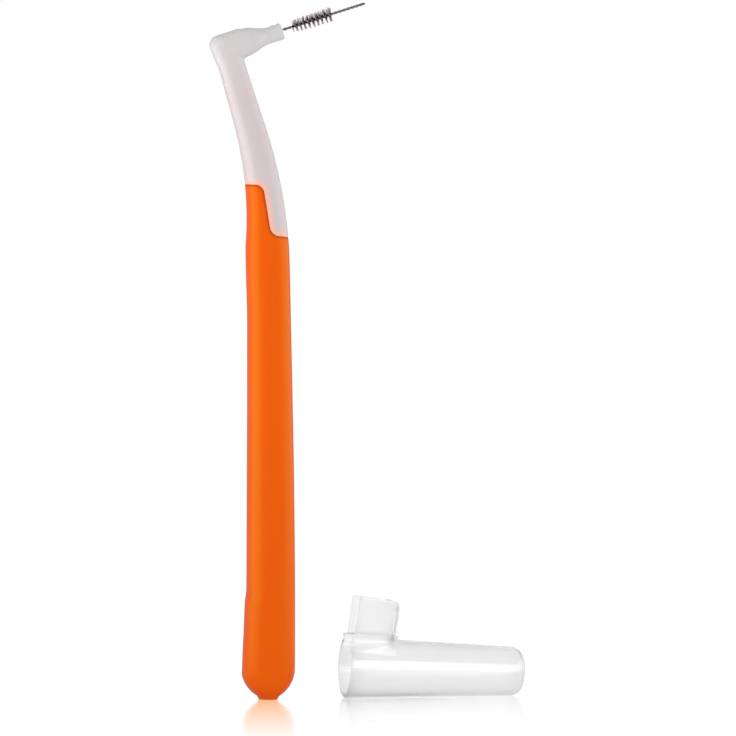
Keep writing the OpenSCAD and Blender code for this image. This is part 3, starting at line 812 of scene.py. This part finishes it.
class BRUSH_OT_handle(bpy.types.Operator):
    """Builds the orange grip and the white core with the angled head."""
    bl_idname = "brush.handle"
    bl_label = "Handle"

    def execute(self, context):
        s = settings_of(context, "handle")
        wire = settings_of(context, "wire")
        shape = HandleShape(s)
        rings = [shape.ring(row) for row in shape.ribs()]
        grip = combine(loft("handle_grip", rings), shape.grip_side(0), "INTERSECT")
        combine(grip, shape.tang(s.joint_gap), "DIFFERENCE")
        core = combine(loft("handle_core", rings), shape.grip_side(s.joint_gap), "DIFFERENCE")
        combine(core, shape.tang(0), "UNION")
        seat_r = wire.wire_gap / 2 + wire.wire_dia + wire.seat_gap
        seat = prism("seat", arc([0, 0], seat_r, 0, 360, 32)[:-1], -wire.seat_l - wire.seat_gap, 1.0,
                     lambda p: shape.to_wire((p[2], p[0], p[1])))
        combine(core, seat, "DIFFERENCE")
        for piece, material, node, slot in (
                (grip, grip_material(s), "grip", "orange_shot"),
                (core, core_material(s), "core", "white_shot")):
            mark_joint(piece, shape, shape.joint_line())
            smooth(piece, 32)
            dress(piece, material, "brush", node, slot)
        return {"FINISHED"}


# Wire and filaments

# How far a strand bends, and by how much its root may be off along the wire, in metres
STRAND_BOW, ROOT_SHIFT = 0.00005, 0.00003
# By how much a strand may be off round the wire, in radians
ROOT_TURN = 0.14
STRAND_POINTS, STRAND_SIDES = 6, 4


def evaluate_tree(name, tree, values):
    """An object whose mesh is what a node tree makes from these values."""
    made = bpy.data.objects.new(name, bpy.data.meshes.new(name))
    bpy.context.scene.collection.objects.link(made)
    step = made.modifiers.new(tree.name, "NODES")
    step.node_group = tree
    named = {item.name: item.identifier for item in tree.interface.items_tree if item.in_out == "INPUT"}
    for key, value in values.items():
        step[named[key]] = value
    made.update_tag()
    return bake(made)


def finish_tree(tree, geometry, given, result, material):
    """Puts the geometry on the wire's axis, makes it real and gives it its material."""
    turned = vector(tree, y=calc(tree, "MULTIPLY", given["Lean"], -1.0))
    placed = put(tree, "GeometryNodeTransform", {
        "Geometry": geometry, "Translation": given["Exit"], "Rotation": turned}).outputs[0]
    real = put(tree, "GeometryNodeRealizeInstances", {"Geometry": placed}).outputs[0]
    finished = put(tree, "GeometryNodeSetMaterial", {"Geometry": real, "Material": material}).outputs[0]
    feed(tree, result, {"Geometry": finished})


def wire_tree(material):
    """One wire: out along a twisted leg, round the fold at the tip and back along the other leg."""
    tree = bpy.data.node_groups.new("Twisted wire", "GeometryNodeTree")
    given, result = sockets(tree, {
        "Diameter": "Float", "Leg Gap": "Float", "Pitch": "Float", "Free Length": "Float",
        "Seat Length": "Float", "Untwist": "Float", "Points": "Int", "Sides": "Int",
        "Exit": "Vector", "Lean": "Float"}, {"Geometry": "Geometry"})
    m = partial(calc, tree)
    path_r = m("MULTIPLY", m("ADD", given["Diameter"], given["Leg Gap"]), 0.5)
    outer_r = m("MULTIPLY_ADD", given["Diameter"], 0.5, path_r)
    fold = m("SUBTRACT", given["Free Length"], outer_r)
    leg_l = m("ADD", fold, given["Seat Length"])
    bow_l = m("MULTIPLY", path_r, math.pi)
    total = m("MULTIPLY_ADD", leg_l, 2.0, bow_l)
    index = put(tree, "GeometryNodeInputIndex").outputs[0]
    gone = m("MULTIPLY", m("DIVIDE", index, m("SUBTRACT", given["Points"], 1.0)), total)
    legs = m("ADD", m("MINIMUM", gone, leg_l), m("MINIMUM", m("SUBTRACT", total, gone), leg_l))
    along = m("SUBTRACT", legs, m("ADD", leg_l, given["Seat Length"]))
    bow = m("MULTIPLY", ramp(tree, m("DIVIDE", m("SUBTRACT", gone, leg_l), bow_l), 0.0, 1.0), math.pi)
    easing = m("MAXIMUM", m("SUBTRACT", along, m("SUBTRACT", fold, given["Untwist"])), 0.0)
    eased = m("SUBTRACT", along, m("DIVIDE", m("MULTIPLY", easing, easing),
                                   m("MULTIPLY", given["Untwist"], 2.0)))
    turn = m("ADD", m("MULTIPLY", m("DIVIDE", eased, given["Pitch"]), 2 * math.pi), math.pi / 2)
    out = m("MULTIPLY", path_r, m("COSINE", bow))
    place = vector(tree, m("MULTIPLY_ADD", path_r, m("SINE", bow), along),
                   m("MULTIPLY", out, m("COSINE", turn)), m("MULTIPLY", out, m("SINE", turn)))
    points = put(tree, "GeometryNodeMeshLine", {"Count": given["Points"]}).outputs[0]
    moved = put(tree, "GeometryNodeSetPosition", {"Geometry": points, "Position": place}).outputs[0]
    path = put(tree, "GeometryNodeMeshToCurve", {"Mesh": moved}).outputs[0]
    section = put(tree, "GeometryNodeCurvePrimitiveCircle", {
        "Resolution": given["Sides"], "Radius": m("MULTIPLY", given["Diameter"], 0.5)}).outputs[0]
    tube = put(tree, "GeometryNodeCurveToMesh", {
        "Curve": path, "Profile Curve": section, "Fill Caps": True}).outputs[0]
    soft = put(tree, "GeometryNodeSetShadeSmooth", {"Geometry": tube}).outputs[0]
    finish_tree(tree, soft, given, result, material)
    return tree


def filament_tree(material):
    """Filaments that stand out from the wire on both sides and follow its twist."""
    tree = bpy.data.node_groups.new("Filaments", "GeometryNodeTree")
    given, result = sockets(tree, {
        "Strands": "Int", "Thickness": "Float", "Root Radius": "Float", "Front Radius": "Float",
        "Start": "Float", "Length": "Float", "Pitch": "Float", "End Row": "Float", "Trim": "Float",
        "Strand Lean": "Float", "Seed": "Int", "Exit": "Vector", "Lean": "Float"},
        {"Geometry": "Geometry"})
    m = partial(calc, tree)

    def chance(offset, low, high):
        """A random number for each strand."""
        return put(tree, "FunctionNodeRandomValue", {
            2: low, 3: high, "Seed": m("ADD", given["Seed"], float(offset))},
            data_type="FLOAT").outputs[1]

    # One strand, a unit long and a little bent
    line = put(tree, "GeometryNodeCurvePrimitiveLine", {"End": (0.0, 0.0, 1.0)}).outputs[0]
    fine = put(tree, "GeometryNodeResampleCurve", {
        "Curve": line, "Count": STRAND_POINTS}).outputs[0]
    part = put(tree, "GeometryNodeSplineParameter").outputs["Factor"]
    bow = vector(tree, m("MULTIPLY", m("MULTIPLY", part, part), STRAND_BOW))
    bowed = put(tree, "GeometryNodeSetPosition", {"Geometry": fine, "Offset": bow}).outputs[0]
    marked = put(tree, "GeometryNodeStoreNamedAttribute", {
        "Geometry": bowed, "Name": REACH_ATTRIBUTE, "Value": part}, data_type="FLOAT").outputs[0]
    narrowed = put(tree, "GeometryNodeSetCurveRadius", {
        "Curve": marked, "Radius": ramp(tree, part, 0.15, 0.6, 1.0, 0.3)}).outputs[0]
    section = put(tree, "GeometryNodeCurvePrimitiveCircle", {
        "Resolution": STRAND_SIDES, "Radius": m("MULTIPLY", given["Thickness"], 0.5)}).outputs[0]
    strand = put(tree, "GeometryNodeCurveToMesh", {
        "Curve": narrowed, "Profile Curve": section, "Fill Caps": True}).outputs[0]
    strand = put(tree, "GeometryNodeSetShadeSmooth", {"Geometry": strand}).outputs[0]

    # Places along the wire, two strands at each
    index = put(tree, "GeometryNodeInputIndex").outputs[0]
    pair = m("FLOOR", m("DIVIDE", index, 2.0))
    count = m("SUBTRACT", m("DIVIDE", given["Strands"], 2.0), 1.0)
    far = m("MINIMUM", m("MULTIPLY", m("DIVIDE", pair, count), m("ADD", given["End Row"], 1.0)), 1.0)
    along = m("ADD", m("MULTIPLY_ADD", far, given["Length"], given["Start"]),
              chance(1, -ROOT_SHIFT, ROOT_SHIFT))
    turn = m("ADD", m("MULTIPLY", m("DIVIDE", along, given["Pitch"]), 2 * math.pi),
             m("MULTIPLY_ADD", m("MODULO", index, 2.0), math.pi, chance(2, -ROOT_TURN, ROOT_TURN)))
    growth = m("SUBTRACT", given["Front Radius"], given["Root Radius"])
    tip = m("MULTIPLY", m("MULTIPLY_ADD", far, growth, given["Root Radius"]),
            m("SUBTRACT", 1.0, m("MULTIPLY", given["Trim"], chance(3, 0.0, 1.0))))
    way = vector(tree, m("MULTIPLY", given["Strand Lean"], chance(4, -1.0, 1.0)),
                 m("COSINE", turn), m("SINE", turn))
    rotation = put(tree, "FunctionNodeAlignRotationToVector", {"Vector": way}, axis="Z").outputs[0]
    points = put(tree, "GeometryNodeMeshLine", {"Count": given["Strands"]}).outputs[0]
    placed = put(tree, "GeometryNodeSetPosition", {
        "Geometry": points, "Position": vector(tree, along)}).outputs[0]
    strands = put(tree, "GeometryNodeInstanceOnPoints", {
        "Points": placed, "Instance": strand, "Rotation": rotation,
        "Scale": vector(tree, 1.0, 1.0, tip)}).outputs[0]
    toned = put(tree, "GeometryNodeStoreNamedAttribute", {
        "Geometry": strands, "Name": TONE_ATTRIBUTE, "Value": chance(5, 0.0, 1.0)},
        data_type="FLOAT", domain="INSTANCE").outputs[0]
    finish_tree(tree, toned, given, result, material)
    return tree


def wire_place(context):
    """Where the wire leaves the nose, in metres, and how far it points up."""
    shape = HandleShape(settings_of(context, "handle"))
    x, z = shape.wire_exit * MM
    return {"Exit": (x, 0.0, z), "Lean": math.radians(shape.lean)}


class BRUSH_OT_wire(bpy.types.Operator):
    """Builds the wire: folded at the tip, twisted, and moulded into the nose."""
    bl_idname = "brush.wire"
    bl_label = "Twisted wire"

    def execute(self, context):
        s = settings_of(context, "wire")
        material = steel_material(s)
        piece = evaluate_tree("twisted_wire", wire_tree(material), {
            "Diameter": s.wire_dia * MM, "Leg Gap": s.wire_gap * MM, "Pitch": s.pitch * MM,
            "Free Length": s.free_l * MM, "Seat Length": s.seat_l * MM, "Untwist": s.untwist_l * MM,
            "Points": s.points, "Sides": s.sides, **wire_place(context)})
        dress(piece, material, "brush", "wire", "steel_wire")
        return {"FINISHED"}


class BRUSH_OT_bristles(bpy.types.Operator):
    """Builds the filaments that the twisted wire holds."""
    bl_idname = "brush.bristles"
    bl_label = "Filaments"

    def execute(self, context):
        s = settings_of(context, "bristles")
        material = nylon_material(s)
        piece = evaluate_tree("filaments", filament_tree(material), {
            "Strands": s.strands, "Thickness": s.thickness * MM,
            "Root Radius": s.root_dia / 2 * MM, "Front Radius": s.front_dia / 2 * MM,
            "Start": s.start * MM, "Length": s.brush_l * MM,
            "Pitch": settings_of(context, "wire").pitch * MM, "End Row": s.end_row, "Trim": s.trim,
            "Strand Lean": s.lean, "Seed": s.seed, **wire_place(context)})
        dress(piece, material, "brush", "bristles", "nylon")
        return {"FINISHED"}


# Cap

CAP_SIDES = 128
# Radius at which a turned section stops before the axis
AXIS_R = 0.02


class CapShape:
    """The cap's solids, in millimetres. Its own axes are up, across and into the cap."""

    def __init__(self, s):
        self.s = s
        self.r, self.far_r = s.mouth_dia / 2, s.end_dia / 2
        self.dip = math.atan((self.r - self.far_r) / s.cap_l)
        turn = Matrix.Rotation(math.radians(90) + self.dip, 4, "Y") @ Matrix.Rotation(math.pi, 4, "Z")
        self.placing = Matrix.Translation((s.cap_x, 0, self.r * math.cos(self.dip))) @ turn

    def place(self, p):
        """A point on the cap's own axes, put in its place."""
        return tuple(self.placing @ Vector(p))

    def half(self, wall):
        """Half the section of the closed tube, from the mouth to the middle of its end."""
        s, dip = self.s, math.degrees(self.dip)
        r, end = s.end_r - wall, s.cap_l - wall
        x = (self.far_r - wall / math.cos(self.dip)
             - r * (1 - math.sin(self.dip)) / math.cos(self.dip) + wall * math.tan(self.dip))
        return ([(self.r - wall / math.cos(self.dip), 0)]
                + [tuple(p) for p in arc([x, end - r], r, dip, 90, 14)])

    def turned(self, name, section, closed):
        """A surface turned round the cap's axis."""
        rings = [[self.place((x * c, x * d, z)) for c, d in
                  (polar(360 * i / CAP_SIDES) for i in range(CAP_SIDES))] for x, z in section]
        return loft(name, rings, closed)

    def tube(self):
        """The tube's wall, with a rounded rim at the mouth."""
        outer, inner = self.half(0), self.half(self.s.wall)
        lip, end = 0.24, self.s.cap_l
        rim = (arc([inner[0][0] + lip, lip], lip, 180, 270, 5)
               + arc([outer[0][0] - lip, lip], lip, 270, 360, 5))
        section = ([tuple(p) for p in rim] + outer[1:] + [(AXIS_R, end), (AXIS_R, end - self.s.wall)]
                   + inner[:0:-1])
        return self.turned("travel_cap", section, True)

    def inside(self):
        """The space inside the tube, which reaches out of its mouth."""
        wall = self.half(self.s.wall)
        section = [(wall[0][0], -1.0), *wall, (AXIS_R, self.s.cap_l - self.s.wall)]
        return self.turned("inside", section, False)

    def saddle(self):
        """The raised saddle between the tube and the sleeve."""
        s = self.s
        top, half = self.r + s.saddle_h, s.saddle_w / 2
        outline = ([(0, -half)] + arc([top - s.saddle_r, s.saddle_r - half], s.saddle_r, -90, 0, 12)
                   + arc([top - s.saddle_r, half - s.saddle_r], s.saddle_r, 0, 90, 12) + [(0, half)])
        far, lean = (s.sleeve_start + s.sleeve_l) / math.cos(s.sleeve_lean), math.tan(s.sleeve_lean)
        return loft("saddle", [[self.place((up, across, s.sleeve_start)) for up, across in outline],
                               [self.place((up, across, far + up * lean)) for up, across in outline]])

    def leaning(self, up, across, along):
        """A place on the sleeve, which leans."""
        lean = self.s.sleeve_lean
        return self.place((up * math.cos(lean) - along * math.sin(lean), across,
                           up * math.sin(lean) + along * math.cos(lean)))

    def plan(self, wall, inset, back):
        """The sleeve's outline: along and across. back pulls its back wall in."""
        s = self.s
        half = s.sleeve_w / 2 - wall - inset
        far = s.sleeve_start + s.sleeve_l - wall - inset - back
        near = -s.sleeve_l if wall else s.sleeve_start + inset
        r = max(0.05, mix(s.sleeve_r, s.sleeve_r / 2, wall / s.wall) - inset)
        return ([(near, -half)] + arc([far - r, r - half], r, -90, 0, 10)
                + arc([far - r, half - r], r, 0, 90, 10) + [(near, half)])

    def sleeve(self):
        """The outside of the sleeve, filled."""
        s = self.s
        top = self.r + s.sleeve_h
        edge = 0.2
        rows = [(0.0, 0.0, 0.0), (top - s.sleeve_top_r, 0.0, 0.0)]
        for k in range(1, 11):
            a = 90 * k / 10
            c, d = polar(a)
            height = top - s.sleeve_top_r + s.sleeve_top_r * d
            inset = edge * (1 - math.sqrt(max(0.0, 1 - max(0.0, (height - top + edge) / edge) ** 2)))
            rows.append((height, inset, s.sleeve_top_r * (1 - c)))
        rings = [[self.leaning(up, y, x) for x, y in self.plan(0, inset, back)]
                 for up, inset, back in rows]
        return loft("sleeve", rings)

    def channel(self):
        """The space inside the sleeve, which flares at its top."""
        s = self.s
        top = self.r + s.sleeve_h
        flare = 0.14
        rows = [(0.0, 0.0), (top - flare, 0.0), (top - flare * 0.4, -flare * 0.35), (top, -flare),
                (top + 1, -flare * 2)]
        rings = [[self.leaning(up, y, x) for x, y in self.plan(s.wall, inset, 0)] for up, inset in rows]
        return loft("channel", rings)


class BRUSH_OT_cap(bpy.types.Operator):
    """Builds the clear travel cap with the sleeve that slides over the neck."""
    bl_idname = "brush.cap"
    bl_label = "Travel cap"

    def execute(self, context):
        s = settings_of(context, "cap")
        shape = CapShape(s)
        extra = combine(shape.saddle(), shape.sleeve(), "UNION")
        combine(extra, shape.inside(), "DIFFERENCE")
        cap = combine(shape.tube(), extra, "UNION")
        combine(cap, shape.channel(), "DIFFERENCE")
        smooth(cap, 30)
        dress(cap, clear_material(s), "cap", "cap", "clear_cap")
        light_only(bpy.data.objects["front_softbox"], cap)
        return {"FINISHED"}


# Stage

# What the camera sees of the floor is its own glow with a little shade, which together are white.
# To the light that it throws back it is paler.
FLOOR_GLOW, FLOOR_SHADE, FLOOR_BOUNCE = 0.90, 0.13, 0.8
# Distances to the right of the foot, in millimetres, between which the floor's reflection turns
# from the brush's tint to the cap's
TINT_EDGES = (11, 14)


def backdrop(tree, place, ahead, near, far, s):
    """Lighter behind the object than in front, for blurred gloss and glass. A mirror sees white.

    Whether a place or direction is in front is told by how far ahead it lies. Gives whether the
    camera looks, whether gloss or glass does, and the strength that those see.
    """
    light = put(tree, "ShaderNodeLightPath").outputs
    forward = vector_calc(tree, "DOT_PRODUCT", place, ahead, output="Value")
    through = light["Is Transmission Ray"]
    shown = ramp(tree, forward, near, far, choose(tree, through, s.dark, s.glass_dark),
                 choose(tree, through, s.behind, 1.0))
    shown = choose(tree, light["Is Singular Ray"], shown, 1.0)
    sent = calc(tree, "MAXIMUM", light["Is Glossy Ray"], through)
    return light["Is Camera Ray"], sent, shown


def stage_world(s, ahead):
    """White to the camera, lighter behind than in front for gloss and glass, and even light."""
    world = bpy.data.worlds.new("studio")
    bpy.context.scene.world = world
    world.use_nodes = True
    tree = world.node_tree
    direction = put(tree, "ShaderNodeTexCoord").outputs["Generated"]
    camera, sent, shown = backdrop(tree, direction, ahead, -0.15, 0.25, s)
    strength = choose(tree, camera, choose(tree, sent, s.ambient, shown), 1.0)
    feed(tree, tree.nodes["Background"], {"Color": (1, 1, 1, 1), "Strength": strength})


def floor_material(s, ahead):
    """White floor with a faint reflection beside the brush, and the object's soft shadow."""
    material = bpy.data.materials.new("studio_floor")
    material.use_nodes = True
    tree = material.node_tree
    tree.nodes.remove(tree.nodes["Principled BSDF"])
    place = put(tree, "ShaderNodeTexCoord").outputs["Object"]
    camera, sent, shown = backdrop(tree, place, ahead, -0.3, -0.06, s)
    distance = vector_calc(tree, "LENGTH", place, output="Value")
    near = calc(tree, "MULTIPLY", ramp(tree, distance, 0.0, s.mirror_reach * MM, 1.0, 0.0), camera)
    aside = vector_calc(tree, "DOT_PRODUCT", place, (ahead[1], -ahead[0], 0.0), output="Value")
    aside = ramp(tree, aside, TINT_EDGES[0] * MM, TINT_EDGES[1] * MM)
    mirror = blend_colour(tree, aside, rgba(s.mirror_colour), rgba([s.cap_mirror] * 3))
    mirrored = blend_colour(tree, near, (0, 0, 0, 1), mirror)
    rest = blend_colour(tree, 1.0, (1, 1, 1, 1), mirrored, "SUBTRACT")
    strength = choose(tree, camera, calc(tree, "MULTIPLY", sent, shown), FLOOR_GLOW)
    glow = put(tree, "ShaderNodeEmission", {"Color": rest, "Strength": strength}).outputs[0]
    albedo = choose(tree, camera, choose(tree, sent, FLOOR_BOUNCE, 0.0), FLOOR_SHADE)
    grey = vector(tree, albedo, albedo, albedo)
    matte = put(tree, "ShaderNodeBsdfDiffuse", {"Color": grey}).outputs[0]
    # The noise lies round 0.5, so the second vector takes half of the first away
    tilt = s.mirror_blur
    tilted = vector_calc(tree, "MULTIPLY_ADD", noise(tree, place, 30000.0, 1.0, output="Color"),
                         (4 * tilt, tilt, 0), (-2 * tilt, -tilt / 2, 1))
    normal = vector_calc(tree, "NORMALIZE", tilted)
    gloss = put(tree, "ShaderNodeBsdfGlossy", {
        "Color": mirrored, "Roughness": 0.0, "Normal": normal}).outputs[0]
    body = put(tree, "ShaderNodeAddShader", {0: glow, 1: matte}).outputs[0]
    both = put(tree, "ShaderNodeAddShader", {0: body, 1: gloss}).outputs[0]
    feed(tree, tree.nodes["Material Output"], {"Surface": both})
    return material


def light_only(lamp, piece):
    """Keeps a lamp to one piece alone."""
    receivers = bpy.data.collections.new(lamp.name + "_receivers")
    receivers.objects.link(piece)
    lamp.light_linking.receiver_collection = receivers


def softbox(name, azimuth, elevation, distance, width, height, strength, aim):
    """An area lamp that faces a point, of a brightness that its size doesn't change."""
    lamp = bpy.data.lights.new(name, "AREA")
    lamp.shape, lamp.size, lamp.size_y = "RECTANGLE", width, height
    lamp.energy = strength * math.pi * width * height
    made = bpy.data.objects.new(name, lamp)
    bpy.context.scene.collection.objects.link(made)
    a, e = math.radians(azimuth), math.radians(elevation)
    back = Vector((math.sin(a) * math.cos(e), -math.cos(a) * math.cos(e), math.sin(e)))
    made.location = Vector(aim) + back * distance
    made.rotation_euler = back.to_track_quat("Z", "Y").to_euler()
    made.visible_camera = False
    return made


class BRUSH_OT_stage(bpy.types.Operator):
    """Sets up the camera, the softboxes, the white surroundings and the floor."""
    bl_idname = "brush.stage"
    bl_label = "Stage"

    def execute(self, context):
        s = settings_of(context, "stage")
        a, e = s.azimuth, s.elevation
        look = Vector((-math.sin(a) * math.cos(e), math.cos(a) * math.cos(e), -math.sin(e)))
        right = Vector((math.cos(a), math.sin(a), 0))
        up = right.cross(look)
        data = bpy.data.cameras.new("camera")
        data.sensor_width, data.lens = 36.0, s.lens
        distance = s.view_w * s.lens / data.sensor_width * MM
        data.clip_start, data.clip_end = 0.05, 50.0
        camera = bpy.data.objects.new("camera", data)
        context.scene.collection.objects.link(camera)
        camera.location = (right * s.aim_right + up * s.aim_up) * MM - look * distance
        camera.rotation_euler = look.to_track_quat("-Z", "Y").to_euler()
        context.scene.camera = camera
        context.scene.view_settings.view_transform = "Standard"

        ahead = (look.x, look.y, 0.0)
        stage_world(s, ahead)
        reach = 15000.0
        floor = object_from("floor", [(-reach, -reach, 0), (reach, -reach, 0), (reach, reach, 0),
                                      (-reach, reach, 0)], [(0, 1, 2, 3)])
        floor.data.materials.append(floor_material(s, ahead))
        middle = (0.005, 0.0, 0.16)
        for name, azimuth in (("left_softbox", -62), ("right_softbox", 73)):
            softbox(name, azimuth, 0, distance=0.5, width=0.75, height=0.31, strength=s.side,
                    aim=middle)
        softbox("front_softbox", 13, 16, distance=0.5, width=0.3, height=0.28, strength=s.front,
                aim=(0.034, 0, 0.006))
        # Lies just above the floor on the left, and shines up
        lamp = softbox("low_softbox", 0, 90, distance=0.0, width=0.42, height=0.62, strength=s.low,
                       aim=(-0.36, -0.14, 0.002))
        lamp.rotation_euler = (math.pi, 0, 0)
        return {"FINISHED"}


# Panel and registration

OPERATORS = {
    "stage": BRUSH_OT_stage, "handle": BRUSH_OT_handle, "wire": BRUSH_OT_wire,
    "bristles": BRUSH_OT_bristles, "cap": BRUSH_OT_cap,
}


class BRUSH_PT_panel(bpy.types.Panel):
    """Lists the pieces, each with its settings."""
    bl_label = "Interdental brush"
    bl_space_type = "VIEW_3D"
    bl_region_type = "UI"
    bl_category = "Brush"

    def draw(self, context):
        for name, operator in OPERATORS.items():
            box = self.layout.box()
            box.operator(operator.bl_idname)
            group = getattr(context.scene, "brush_" + name)
            for key in group.__annotations__:
                box.prop(group, key)


CLASSES = (*GROUPS.values(), *OPERATORS.values(), BRUSH_PT_panel)


def register():
    """Registers the classes and hangs their settings on the scene."""
    for made in CLASSES:
        bpy.utils.register_class(made)
    for name, group in GROUPS.items():
        setattr(bpy.types.Scene, "brush_" + name, PointerProperty(type=group))


def unregister():
    """Undoes what register does."""
    for name in GROUPS:
        delattr(bpy.types.Scene, "brush_" + name)
    for made in reversed(CLASSES):
        bpy.utils.unregister_class(made)


def main():
    """Builds everything in order."""
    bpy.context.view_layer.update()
    register()
    for name in OPERATORS:
        getattr(bpy.ops.brush, name)()


if __name__ == "__main__":
    main()
